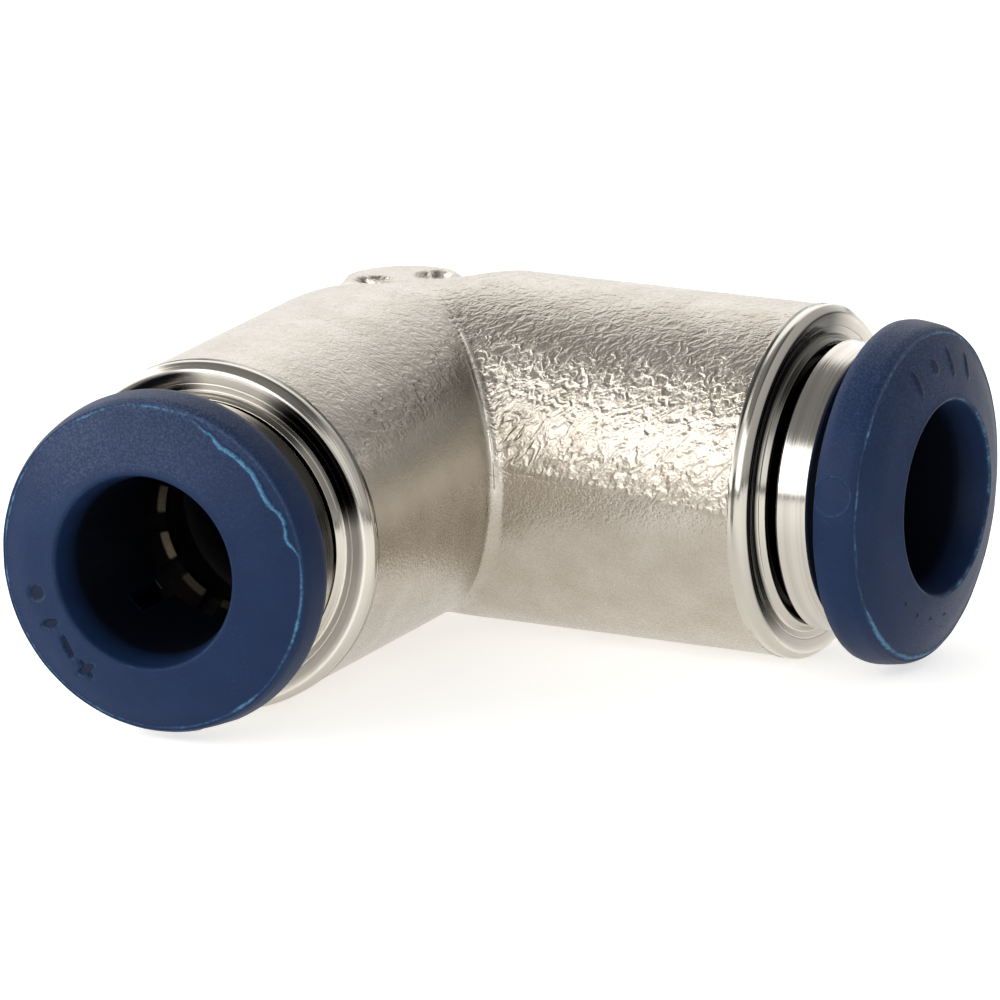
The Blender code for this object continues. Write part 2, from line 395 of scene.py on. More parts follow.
def forged_nickel():
    """Nickel plate over a forged skin.

    It has strands where coarse is 1, tool rings where turned is 1, painted shade and painted dark
    reflections where shade is 1, and a paler colour as painted sheen, with more roughness, on the
    crease ridge, a band of port B and the mouth faces.
    """
    n = Nodes("forged_nickel")
    turned = attribute(n, "turned")
    coarse = attribute(n, "coarse")
    patches = n.noise(1.7, 4.0)
    pits = n.noise(0.10, 2.0)
    warm = n.ramp(patches, (0.32, (0.46, 0.416, 0.354)), (0.68, (0.55, 0.510, 0.452)))
    skin = n.mix(n.math("MULTIPLY", pits, 0.50), warm, (0.40, 0.352, 0.295, 1))
    bright = n.mix(turned, skin, (0.55, 0.52, 0.46, 1))
    # Painted sheen: a paler colour, with more roughness, on the crease ridge, a band of port B and
    # the mouth faces.
    sheen_and_satin = attribute(n, "sheen_and_satin")
    pale = n.mix(sheen_and_satin, bright, (0.95, 0.90, 0.82, 1))
    # Painted shade and painted dark reflections: near black where shade is 1.
    colour = n.mix(attribute(n, "shade"), pale, PAINTED_SHADE_COLOUR)
    keep = n.math("SUBTRACT", 1.0, turned)
    rough = n.math("MULTIPLY_ADD", pits, 0.16, 0.18)
    rough = n.math("ADD", rough, n.math("MULTIPLY", coarse, 0.09))
    lines = turning_lines(n, 0.05)
    smooth = n.math("MULTIPLY_ADD", lines, 0.10, 0.10)
    both = n.math("ADD", n.math("MULTIPLY", rough, keep), n.math("MULTIPLY", smooth, turned))
    roughness = n.math("ADD", both, n.math("MULTIPLY", sheen_and_satin, 0.42))
    wide = n.bump(n.math("MULTIPLY", forged_strands(n, 0.78, 0.37), coarse), 0.044)
    fine = n.bump(n.math("MULTIPLY", forged_strands(n, 0.36, 0.17), coarse), 0.007, wide)
    pitted = n.bump(n.math("MULTIPLY", pits, keep), 0.020, fine)
    rings = n.bump(n.math("MULTIPLY", lines, turned), 0.004, pitted)
    return n.set(Base_Color=colour, Metallic=1.0, Roughness=roughness, Normal=rings)


def turned_nickel():
    """Bright turned nickel with tool lines, and near-black painted shade in the groove under the
    ring and on one dark stretch.
    """
    n = Nodes("turned_nickel")
    lines = turning_lines(n, 0.06)
    coarse = turning_lines(n, 0.30)
    bright = n.ramp(coarse, (0.35, (0.50, 0.47, 0.42)), (0.65, (0.60, 0.57, 0.52)))
    # Painted shade: near black where shade is 1, on the ring's hidden parts and one dark stretch.
    colour = n.mix(attribute(n, "shade"), bright, PAINTED_SHADE_COLOUR)
    roughness = n.math("ADD", n.math("MULTIPLY", lines, 0.18), 0.07)
    fine = n.bump(lines, 0.006)
    bumps = n.bump(coarse, 0.010, fine)
    return n.set(Base_Color=colour, Metallic=1.0, Roughness=roughness, Normal=bumps)


def spring_steel():
    """Dark tempered strip, darkened near black as painted shade in the bore, ground bright at the
    tips of the teeth.
    """
    n = Nodes("spring_steel")
    brushed = n.noise(0.08, 2.0, (1.0, 6.0, 1.0))
    bare = n.ramp(brushed, (0.3, (0.060, 0.048, 0.033)), (0.7, (0.11, 0.090, 0.064)))
    # Tempered steel colour lowered near black: partly its own dark temper, partly painted shade in
    # the bore.
    tempered_in_shade = n.ramp(brushed, (0.3, grey(0.001)), (0.7, (0.003, 0.0026, 0.0022)))
    colour = n.mix(attribute(n, "ground"), tempered_in_shade, bare)
    roughness = n.math("ADD", n.math("MULTIPLY", brushed, 0.2), 0.28)
    scratches = n.bump(brushed, 0.003)
    return n.set(Base_Color=colour, Metallic=1.0, Roughness=roughness, Normal=scratches)


def navy_plastic():
    """Moulded navy acetal: pale torn flash with painted highlights, grey dust with painted sheen,
    near-black painted shade in hollows.
    """
    n = Nodes("navy_plastic")
    clouds = n.noise(1.4, 3.0)
    pores = n.noise(0.06, 2.0)
    flecks = n.noise(0.08, 4.0)
    base = n.ramp(clouds, (0.25, (0.0056, 0.0160, 0.050)), (0.75, (0.0078, 0.0205, 0.061)))
    few = n.ramp(flecks, (0.63, grey(0)), (0.74, grey(0.16)))
    many = n.ramp(flecks, (0.42, grey(0.08)), (0.66, grey(0.58)))
    # Pale flecks: grey dust, and a painted sheen where they gather at the top rim and one stretch
    # of the face.
    pale_share = n.mix(attribute(n, "dusty"), few, many)
    dusty = n.mix(pale_share, base, (0.085, 0.105, 0.170, 1))
    # Painted shade: near black in the bore, under the flange and in the marks.
    shaded = n.mix(attribute(n, "deep"), dusty, (0.0022, 0.0034, 0.0078, 1))
    # Torn flash is paler plastic; this value also carries painted highlights on the rim crease,
    # bore lip and mark edges.
    flash = attribute(n, "flash")
    ragged = n.math("MULTIPLY", n.math("SUBTRACT", n.noise(0.16, 4.0), 0.5), 2.6)
    torn = n.math("ADD", flash, n.math("MULTIPLY", ragged, flash))
    pale = n.ramp(torn, (0.12, grey(0)), (0.34, grey(0.14)), (0.80, grey(0.72)))
    streaky = n.ramp(pores, (0.3, (0.040, 0.130, 0.250)), (0.7, (0.110, 0.290, 0.440)))
    colour = n.mix(pale, shaded, streaky)
    roughness = n.math("ADD", n.math("MULTIPLY", pores, 0.20), 0.38)
    height = n.math("ADD", n.math("MULTIPLY", clouds, 0.6), pores)
    bumps = n.bump(torn, 0.020, n.bump(height, 0.011))
    return n.set(Base_Color=colour, Roughness=roughness, Normal=bumps, Specular_IOR_Level=0.12)


def black_rubber():
    n = Nodes("black_rubber")
    skin = n.noise(0.12, 3.0)
    colour = n.ramp(skin, (0.3, grey(0.006)), (0.7, grey(0.012)))
    roughness = n.math("ADD", n.math("MULTIPLY", skin, 0.2), 0.42)
    bumps = n.bump(skin, 0.006)
    return n.set(Base_Color=colour, Roughness=roughness, Normal=bumps, Specular_IOR_Level=0.10)


def black_acetal():
    n = Nodes("black_acetal")
    skin = n.noise(0.5, 4.0)
    colour = n.ramp(skin, (0.3, grey(0.005)), (0.7, grey(0.010)))
    roughness = n.math("ADD", n.math("MULTIPLY", skin, 0.15), 0.34)
    return n.set(Base_Color=colour, Roughness=roughness, Normal=n.bump(skin, 0.008))


# ---------------------------------------------------------------- the elbow

def skin_radius(s, angle):
    """The forged barrel's radius. It draws in to the waist on the outer side of the corner only."""
    full = BARREL_R + BARREL_DRAFT * np.maximum(s - WAIST_S, 0.0)
    outer = smooth_step(np.cos(angle), -0.5, 0.2)
    waist = (BARREL_R - WAIST_R) * (1 - smooth_step(s, 0.0, WAIST_S))
    return full - waist * outer


def crease_s(angle):
    """Where the inner side of a barrel meets the other barrel's, or 0 on the outer side."""
    inner = np.maximum(-np.cos(angle), 0.0)
    s = BARREL_R * inner
    for _ in range(12):
        s = (skin_radius(s, angle) + CREASE_FILLET / 2 * inner) * inner
    return s


def elbow_rows(seed):
    """Rows of points over one barrel, from the mitre, along the skin to the rough edge."""
    angle = np.arange(COLUMNS) / COLUMNS * math.tau
    outer = np.maximum(np.cos(angle), 0.0)
    start = crease_s(angle) - skin_radius(0.0, angle) * outer * math.pi / 4
    end = ROUGH_END_S + 0.05 * round_noise(angle, 46, seed)
    end = end + 0.035 * round_noise(angle, 110, seed + 5)
    share = np.linspace(0.0, 1.0, SKIN_ROWS)[:, None]
    q = start + (end - start) * share
    angle = np.repeat(angle[None, :], SKIN_ROWS, 0)
    s = np.maximum(q, 0.0)
    r = skin_radius(s, angle)
    inner = np.maximum(-np.cos(angle), 0.0)
    from_crease = np.clip((s - crease_s(angle)) / CREASE_FILLET, 0.0, 1.0)
    r = r + CREASE_FILLET / 2 * inner * (1 - from_crease) ** 2
    turn = np.where(q < 0, -q / np.maximum(r * np.cos(angle), 1e-6), 0.0)
    across = r * np.cos(angle)
    points = np.stack([s - across * np.sin(turn), across * np.cos(turn), r * np.sin(angle)], -1)
    flat = np.cos(angle)
    outwards = np.stack([-flat * np.sin(turn), flat * np.cos(turn), np.sin(angle)], -1)
    return points, outwards, q, end


def coarse_share(port, points):
    """How coarse the forged skin is: most above a slanting line, less at the top, low below.

    On port B's inner side the line is higher, and the skin is coarsest just above it.
    """
    s, y, z = np.maximum(points[..., 0], 0.0), points[..., 1], points[..., 2]
    away = smooth_step(y, -1.0, 2.0)
    low_line = 1.45 - 0.085 * s
    line = low_line if port == "a" else low_line + (3.25 - 0.055 * s) * (1 - away)
    edge = 0.10 if port == "a" else 0.60
    most = 0.80 + (0.12 if port == "a" else -0.22) * (1 - away)
    most = most * (1 - 0.60 * smooth_step(z, 4.3, 5.7))
    if port == "b":
        most = most * (1 + 0.7 * (1 - away) * np.exp(-(((z - line - 0.9) / 0.8) ** 2)))
    above = z - line - 0.10 * noise(points / 0.5, 61)
    return 0.11 + most * smooth_step(above, -0.06, edge)


def grain(port, points, seed):
    """Height of the forged grain: short worm-like strands that lean outwards and up."""
    along = np.array([math.cos(STRAND_LEAN), 0.0, math.sin(STRAND_LEAN)])
    run = np.outer(points.reshape(-1, 3) @ along, along).reshape(points.shape)
    flat = points - run * 0.60
    warp = np.stack([noise(flat / 0.5 + k, seed + 40) for k in (3.0, 9.0, 15.0)], -1)
    strands = 1 - 2.2 * np.abs(noise(flat / 0.42 + warp * 0.35, seed))
    lumps = noise(flat / 0.60 + 5.0, seed + 3)
    waves = noise(points / 1.9, seed + 7)
    return (0.014 * strands + 0.015 * lumps) * coarse_share(port, points) + 0.016 * waves


def crease_ridge(points, q):
    """1 on the thin ridge of the forging die along the upper part of the inner crease; it is raised
    and painted pale as a painted highlight.
    """
    angle = np.arange(COLUMNS) / COLUMNS * math.tau
    away = (q - crease_s(angle)[None, :]) / (0.075 + 0.02 * noise(points / 0.5, 75))
    z = points[..., 2]
    upper = smooth_step(z, -0.4, 0.4) * (1 - smooth_step(z, 4.9, 5.4))
    ragged = 0.75 + 0.45 * noise(points / 0.35, 71)
    return np.clip(np.exp(-(away**2)) * upper * ragged, 0.0, 1.0) * (np.cos(angle) < 0)


def pad_lift(points):
    """Raises the skin to the soft-edged marking pads on top of and under the corner."""
    x, y, z = points[..., 0], points[..., 1], points[..., 2]
    out = (y - x) / math.sqrt(2)
    along = (x + y) / math.sqrt(2)
    distance = np.hypot(out - PAD_OUT, along)
    slope = 0.9 + 2.4 * smooth_step(out - PAD_OUT, 0.3, 1.8)
    flank = slope * np.maximum(distance - PAD_R, 0.0) ** 1.15
    top = PAD_TOP - PAD_TILT * (out - PAD_OUT) - flank - recesses(x, y)
    raised = np.where(z > 0, soft_max(z, top), z)
    foot_distance = np.hypot(x, y)
    foot = AXIS_Z - 1.1 * np.maximum(foot_distance - PAD_R, 0.0) ** 1.1
    return np.where(z < 0, -soft_max(-z, foot), raised)


def soft_max(first, second, reach=0.06):
    """The larger of two heights, with a fillet about reach wide where they cross."""
    return (first + second + np.sqrt((first - second) ** 2 + reach * reach)) / 2


def recesses(x, y):
    """Three plain forged dents in the top pad: a short bar, a dot and a split oval."""
    centre_x, centre_y = -PAD_OUT / math.sqrt(2), PAD_OUT / math.sqrt(2)
    turn = math.radians(26)
    u = (x - centre_x) * math.cos(turn) + (y - centre_y) * math.sin(turn)
    v = -(x - centre_x) * math.sin(turn) + (y - centre_y) * math.cos(turn)
    bar = np.hypot((u + 1.20) / 0.40, (v + 0.15) / 0.62)
    dot = np.hypot((u + 0.30) / 0.20, (v + 0.05) / 0.62)
    oval = np.hypot((u - 1.16) / 0.72, (v + 0.05) / 1.00)
    split = np.exp(-(((u - 1.02) / 0.10) ** 2))
    depth = 0.42 * (1 - smooth_step(bar, 0.6, 1.1)) + 0.24 * (1 - smooth_step(dot, 0.4, 1.1))
    return depth + 0.42 * (1 - smooth_step(oval, 0.5, 1.1)) * (1 - 0.9 * split)


def mouth_profile():
    """The turned end of a barrel and its stepped bore, from the land to near the mitre."""
    return rounded(
        [
            (6.36, 15.72, 0),
            (6.40, 15.88, 0.10),
            (6.40, 16.07, 0.34),
            (6.12, 16.33, 0.16),
            (5.94, 16.325, 0.03),
            (5.66, 16.275, 0.02),
            (5.64, 16.255, 0.02),
            (5.60, 16.265, 0.02),
            (5.38, 16.225, 0.02),
            (5.30, 16.34, 0.02),
            (5.27, 16.36, 0.02),
            (5.15, 16.55, 0.05),
            (5.07, 16.55, 0.03),
            (5.00, 16.47, 0.03),
            (5.00, 9.30, 0.05),
            (3.60, 9.30, 0.05),
            (3.25, 8.95, 0.05),
            (3.25, 5.00, 0.05),
            (PASSAGE_R, 5.00, 0.10),
            (PASSAGE_R, 4.00, 0),
        ],
        most=0.25,
    )


def between(angle, low, rise, fall, high):
    """1 between two angles in degrees, with soft ends from low to rise and from fall to high."""
    low, rise, fall, high = (math.radians(k) for k in (low, rise, fall, high))
    return smooth_step(angle, low, rise) * (1 - smooth_step(angle, fall, high))


def shade_on_mouth(port, angle, r, s):
    """Painted shade on the turned mouth: black in the bore, painted dark reflections on parts of
    face, lip, neck and land; and a paler painted sheen on the face elsewhere.
    """
    inner = 1 - smooth_step(r, 5.02, 5.10)
    face = smooth_step(r, 5.32, 5.38) * (1 - smooth_step(r, 6.12, 6.20))
    lip = smooth_step(r, 5.02, 5.10) * (1 - smooth_step(r, 5.32, 5.38))
    neck = np.exp(-(((s - 15.70) / 0.08) ** 2)) * smooth_step(r, 6.2, 6.3)
    land = np.exp(-(((s - 15.84) / 0.10) ** 2)) * smooth_step(r, 6.2, 6.3)
    if port == "a":
        spread = between(angle, 60, 85, 205, 240)
        painted_shade = 0.93 * face * spread + 0.75 * lip * between(angle, 60, 85, 125, 160)
        painted_shade = painted_shade + 0.80 * neck * between(angle, 70, 95, 150, 175)
        painted_shade = painted_shade + 0.72 * land * between(angle, 138, 150, 166, 176)
    else:
        spread = between(angle, 108, 128, 158, 172)
        far = between(angle, 26, 42, 74, 90)
        inner = inner * (1 - 0.9 * between(angle, 184, 192, 265, 275))
        painted_shade = 0.80 * face * spread + 0.45 * lip * spread
        painted_shade = painted_shade + 0.80 * neck * between(angle, 104, 122, 158, 180)
        painted_shade = painted_shade + 0.85 * (neck + land) * between(angle, 20, 40, 84, 100) + 0.80 * face * far
        spread = spread + far
    return np.clip(np.maximum(inner, painted_shade), 0.0, 1.0), face * (1 - spread)


def skin_paint_bands(port, angle):
    """Port B's inner side gets a band of painted shade (a painted dark reflection) and a paler,
    rougher band of painted sheen; port A's is even.
    """
    if port == "a":
        return np.zeros_like(angle), np.zeros_like(angle)
    painted_dark_band = 0.20 * between(angle, 128, 136, 141, 149)
    pale_share = 0.20 * between(angle, 142, 153, 166, 177)
    return painted_dark_band, pale_share


def elbow_half(port, seed):
    """One barrel's points in port A's frame, row by row, and the named values of its skin."""
    skin, outwards, q, end = elbow_rows(seed)
    near_end = smooth_step(end[None, :] - q, 0.0, 0.12)
    ridge = crease_ridge(skin, q)
    height = grain(port, skin, seed) * (0.25 + 0.75 * near_end) + 0.055 * ridge
    skin = skin + outwards * height[..., None]
    skin[..., 2] = pad_lift(skin)
    angle = np.arange(COLUMNS) / COLUMNS * math.tau
    profile = mouth_profile()
    ramp = np.stack([np.full(COLUMNS, 6.40), end + 0.06], -1)[None]
    turned_rows = np.repeat(profile[:, None, :], COLUMNS, 1)
    turned_rows = np.concatenate([ramp, turned_rows])
    inner_end = -PASSAGE_R * np.cos(angle)
    share = np.linspace(0.0, 1.0, BORE_ROWS + 1)[1:, None]
    bore_s = 4.0 + (inner_end[None, :] - 4.0) * share
    bore = np.stack([np.full_like(bore_s, PASSAGE_R), bore_s], -1)
    rings = np.concatenate([turned_rows, bore])
    r, s = rings[..., 0], rings[..., 1]
    turned_points = np.stack([s, r * np.cos(angle), r * np.sin(angle)], -1)
    points = np.concatenate([skin, turned_points])
    painted_shade, sheen_and_satin = shade_on_mouth(port, angle, r, s)
    painted_dark_band, pale_share = skin_paint_bands(port, angle)
    # The shade values hold painted shade; the satin values hold painted sheen with more roughness,
    # on the crease ridge, port B's band and the mouth face.
    values = {
        "turned": np.concatenate([smooth_step(q, end - 0.02, end + 0.02), np.ones(r.shape)]),
        "lathe": np.concatenate([np.zeros(q.shape), np.hypot(8 - r, s)]),
        "coarse": np.concatenate([coarse_share(port, skin), np.zeros(r.shape)]),
        "shade": np.concatenate([np.broadcast_to(painted_dark_band, q.shape), painted_shade]),
        "sheen_and_satin": np.concatenate([np.maximum(0.8 * ridge, pale_share), sheen_and_satin]),
        "arm": points,
    }
    return points, values


def elbow_skin():
    """The whole elbow as one closed skin: two mirrored barrels that share their mitre points."""
    halves = [elbow_half("a", 1), elbow_half("b", 77)]
    rows = halves[0][0].shape[0]
    count = rows * COLUMNS
    points = np.concatenate([
        place(port, half[..., 0], half[..., 1], half[..., 2]).reshape(-1, 3)
        for port, (half, _) in zip(PORTS, halves)
    ])
    faces = [
        grid_faces(rows, COLUMNS, False, False),
        grid_faces(rows, COLUMNS, False, True, count),
    ]
    last = count - COLUMNS
    shared = np.arange(2 * count)
    shared[count:count + COLUMNS] = np.arange(COLUMNS)
    shared[count + last:] = last + np.arange(COLUMNS)
    faces = shared[np.concatenate(faces)]
    used = np.unique(faces)
    index = np.zeros(2 * count, np.int64)
    index[used] = np.arange(len(used))
    values = {}
    for key, first in halves[0][1].items():
        both = np.stack([first, halves[1][1][key]])
        values[key] = both.reshape(2 * count, -1).squeeze()[used]
    piece = new_piece("elbow_skin", points[used], index[faces], values)
    face_outwards(piece)
    return piece


# ---------------------------------------------------------------- rings and seals

def guide_ring(port):
    """The bright turned ring round the collet, with painted shade where it is hidden."""
    profile = rounded(
        [
            (4.23, GUIDE_FRONT_S, 0.03),
            (5.06, GUIDE_FRONT_S, 0.05),
            (5.13, GUIDE_FRONT_S - 0.08, 0.04),
            (5.27, GUIDE_BACK_S + 0.07, 0.05),
            (5.20, GUIDE_BACK_S, 0.03),
            (4.60, GUIDE_BACK_S, 0.03),
            (4.60, 16.37, 0.03),
            (4.87, 16.10, 0.03),
            (4.87, 14.45, 0.03),
            (4.55, 14.45, 0.03),
            (4.55, 16.17, 0.03),
            (4.23, 16.37, 0.03),
            (4.23, GUIDE_FRONT_S, 0),
        ],
        most=0.20,
    )

    def extra(angle, r, s):
        # Painted shade on the hidden neck and back; on port B also a painted dark stretch of the
        # visible ring, lessened low down.
        past_back = smooth_step(s, GUIDE_BACK_S - 0.02, GUIDE_BACK_S + 0.06)
        hidden = 1 - past_back * smooth_step(r, 4.3, 4.4)
        if port == "b":
            before_front = 1 - smooth_step(s, GUIDE_BACK_S + 0.8, GUIDE_FRONT_S)
            painted_shade = between(angle, 100, 120, 182, 196) * before_front
            less_shade = 1 - 0.9 * between(angle, 184, 192, 265, 275)
            hidden = np.maximum(hidden * less_shade, 0.90 * painted_shade)
        return {"shade": hidden}

    return turned_piece(f"guide_ring_turned_{port}", port, profile[:-1], 300, extra=extra)


def ground_tips(angle, r, s):
    """1 on the ground edge of each tooth's outward face. The lowest ones are dimmed as painted
    shade.
    """
    edge = (1 - smooth_step(r, 3.38, 3.42)) * smooth_step(s, 13.5, 13.55)
    return {"ground": edge * (1 - 0.8 * between(angle, 255, 268, 316, 324))}


def grab_ring(port):
    """The spring-steel ring whose teeth hold the tube."""
    profile = rounded(
        [
            (4.92, 14.27, 0.04),
            (4.92, 14.00, 0.04),
            (TOOTH_ROOT_R, 14.00, 0.20),
            (TOOTH_TIP_R, 13.30, 0.02),
            (TOOTH_TIP_R, 13.57, 0.02),
            (TOOTH_ROOT_R, 14.27, 0.20),
            (4.92, 14.27, 0),
        ],
        most=0.08,
    )
    ring = turned_piece(f"grab_ring_toothed_{port}", port, profile[:-1], 144, extra=ground_tips)
    width = 2 * TOOTH_TIP_R * math.sin(math.radians(6))
    # Port B's teeth are phased from +X; the mirrored frame turns that the other way.
    phase = math.radians(180 - 7.7) if port == "b" else math.radians(90 + 7.7)
    cut(ring, spokes(port, TEETH, 2.0, TOOTH_ROOT_R, width, 12.3, 15.7, phase))
    return ring


def backup_ring(port):
    profile = rounded(
        [
            (4.87, 13.85, 0.05),
            (4.87, 11.30, 0.05),
            (3.60, 11.30, 0.08),
            (3.60, 12.85, 0.05),
            (4.28, 13.85, 0.05),
            (4.87, 13.85, 0),
        ],
        most=0.40,
    )
    return turned_piece(f"backup_ring_moulded_{port}", port, profile[:-1], 120)


def o_ring(port):
    turn = np.linspace(0.0, math.tau, 33)[:-1]
    r = O_RING_R + O_RING_CORD_R * np.cos(turn)
    s = O_RING_S + O_RING_CORD_R * np.sin(turn)
    profile = np.stack([r, s], -1)
    return turned_piece(f"o_ring_moulded_{port}", port, profile, 120)


# ---------------------------------------------------------------- the collets

def collet_profile(back):
    """The collet's outline, the back of its flange at s = back: a fine front, a plain sleeve."""
    front = [
        (TUBE_BORE_R, NOSE_RISE - 1.10, 0),
        (3.49, NOSE_RISE - 0.10, 0.10),
        (3.60, NOSE_RISE, 0.08),
        (4.97, 2.03, 0.60),
        (5.80, 1.62, 0.10),
        (RIM_R, 1.56, 0.05),
        (5.99, 1.585, 0.06),
        (6.11, 1.34, 0.22),
        (6.185, 0.85, 0.30),
        (6.22, 0.37, 0.30),
        (6.13, 0.04, 0.16),
        (5.96, 0.0, 0.06),
        (4.10, 0.0, 0),
    ]
    sleeve = [
        (4.10, 0.0, 0),
        (4.10, 0.77 - COLLET_LENGTH, 0.03),
        (4.42, 0.66 - COLLET_LENGTH, 0.04),
        (4.42, 0.43 - COLLET_LENGTH, 0.04),
        (3.95, -COLLET_LENGTH, 0.08),
        (TUBE_BORE_R, -COLLET_LENGTH, 0.05),
        (TUBE_BORE_R, NOSE_RISE - 1.10, 0),
    ]
    profile = np.concatenate([rounded(front, most=0.045)[:-1], rounded(sleeve, most=0.30)[:-1]])
    return profile + np.array([0.0, back])


def turned_from(angle, centre):
    """The angle measured from this centre, from minus to plus half a turn."""
    return np.angle(np.exp(1j * (angle - centre)))


def flash_line(angle, seed, torn_at, torn_in):
    """Radius of the mould's parting flash and how thick it is, with one stretch torn inwards."""
    torn = 1 - smooth_step(np.abs(turned_from(angle, torn_at)), 0.42, 0.60)
    wander = 0.020 * round_noise(angle, 60, seed) + 0.015 * round_noise(angle, 150, seed + 2)
    wander = wander - torn * torn_in * (1 + 0.7 * round_noise(angle, 34, seed + 4))
    weight = 0.40 + 0.50 * round_noise(angle, 30, seed + 6)
    weight = weight + 0.15 * round_noise(angle, 120, seed + 8)
    return RIM_R - 0.02 + wander, np.clip(weight + 0.55 * torn, 0.0, 1.0)


def mark_depth(angle, r, marks):
    """Plain ticks and dots, each (angle, radius, half length, half width, lean)."""
    depth = np.zeros_like(r)
    for at, radius, long, wide, lean in marks:
        side = turned_from(angle, math.radians(at)) * r
        out = r - radius
        lean = math.radians(lean)
        across = side * math.cos(lean) - out * math.sin(lean)
        along = side * math.sin(lean) + out * math.cos(lean)
        shape = np.hypot(across / wide, along / long)
        depth = np.maximum(depth, 1 - smooth_step(shape, 0.60, 1.05))
    return depth


def front_weight(collet, r, s):
    """1 on the flange's front face, and 0 on its rim and in the bore."""
    return smooth_step(s - collet.back, 1.30, 1.50) * smooth_step(r, 3.5, 3.7)


def flash_value(collet, angle, r, s):
    """How much torn flash there is on the edge between the front face and the rim, with a thin
    painted highlight along the rim crease.
    """
    line_r, weight = flash_line(angle, collet.seed, collet.torn_at, collet.torn_in)
    torn = np.exp(-(((r - line_r) / (0.028 + 0.050 * weight)) ** 2)) * weight
    # A thin painted highlight along the rim crease all round.
    crease_highlight = 0.32 * np.exp(-(((r - RIM_R) / 0.030) ** 2))
    return np.maximum(torn, crease_highlight) * smooth_step(s - collet.back, 1.30, 1.50)


def ejector_ring(collet, angle, r, s):
    """The distance from the middle of the ejector mark, and 1 on the rim that carries it."""
    across = turned_from(angle, math.radians(collet.ejector_at)) * r
    return np.hypot(across, s - collet.back - EJECTOR_R), smooth_step(r, 5.9, 6.1)


def collet_dust_sheen(collet, angle, r, s):
    """Grey dust on what faces up with a painted sheen at the top rim, and a painted sheen on one
    stretch of the front face.
    """
    upwards = np.exp(-((turned_from(angle, math.radians(90)) / 0.75) ** 2))
    upwards = upwards * smooth_step(r, 3.6, 3.9)
    # Painted sheen: more at the top rim.
    upwards = upwards * (0.62 + 0.38 * smooth_step(r, 5.6, 6.0))
    # Painted sheen on one stretch of the front face.
    patch = np.exp(-((turned_from(angle, math.radians(collet.dusty_at)) / 0.50) ** 2))
    patch = 0.8 * patch * smooth_step(r, 3.7, 4.2) * front_weight(collet, r, s)
    return np.maximum(upwards, patch)


def collet_values(collet, angle, r, s):
    """The named numbers that the navy material reads."""
    rise = s - collet.back
    # A painted highlight on the bore's lip.
    lip = np.exp(-(((r - 3.56) / 0.055) ** 2)) * smooth_step(rise, 2.2, 2.3)
    ragged = np.clip(0.42 + 0.60 * round_noise(angle, 44, collet.seed + 12), 0.0, 1.0)
    reach, outside = ejector_ring(collet, angle, r, s)
    # A pale ring painted round the ejector dent's edge, and painted highlights on the marks' edges.
    circle = 0.26 * np.exp(-(((reach - EJECTOR_R) / 0.035) ** 2)) * outside
    step = mark_depth(angle, r, collet.marks)
    front = front_weight(collet, r, s)
    edges = 1.1 * step * (1 - step) * front
    pale = np.maximum(flash_value(collet, angle, r, s), collet.mouth_flash * lip * ragged)
    # Painted shade in the bore and under the flange, and in the sunk marks below.
    in_bore = 1 - smooth_step(rise, NOSE_RISE - 1.5, NOSE_RISE - 0.25)
    in_bore = in_bore * (1 - smooth_step(r, 3.5, 3.9))
    under = 1 - smooth_step(rise, -0.3, 0.0)
    return {
        "flash": np.maximum(pale, circle + edges),
        "deep": np.maximum(np.maximum(in_bore, under), 0.55 * step * front),
        "dusty": collet_dust_sheen(collet, angle, r, s) * (1 - step),
    }


def collet_lift(collet, angle, r, s):
    """Raises the flash, raises or sinks the marks, sinks the ejector mark, adds a slight wave."""
    points = np.stack([s, r * np.cos(angle), r * np.sin(angle)], -1)
    wave = 0.012 * noise(points / 1.1, collet.seed + 30)
    reach, outside = ejector_ring(collet, angle, r, s)
    dent = 0.030 * (1 - smooth_step(reach, 0.66, EJECTOR_R)) * outside
    visible = smooth_step(s - collet.back, -0.2, 0.0)
    front = front_weight(collet, r, s)
    rise = 0.055 * flash_value(collet, angle, r, s) * smooth_step(RIM_R - r, -0.06, 0.02)
    rise = rise + collet.mark_lift * mark_depth(angle, r, collet.marks) * front
    sink = -dent + np.minimum(wave, 0.0) * smooth_step(r, 5.6, 6.0)
    return sink * visible, rise + wave * front


def release_collet(port, collet):
    """The navy collet with its torn flash, generic size marks, ejector mark and snap slots."""
    piece = turned_piece(
        f"release_collet_moulded_{port}", port, collet_profile(collet.back), 600,
        partial(collet_lift, collet), partial(collet_values, collet),
    )
    end = collet.back - COLLET_LENGTH
    cut(piece, spokes(port, SLOTS, 2.0, 5.4, SLOT_WIDTH, end - 1.0, end + 2.55, math.radians(45)))
    return piece


# ---------------------------------------------------------------- assembly

def finish_piece(piece, material, body, node):
    """Gives a piece its material and slot, rides it on its body and puts it in a node's place."""
    piece.data.materials.clear()
    piece.data.materials.append(material)
    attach(piece, body)
    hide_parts(node)


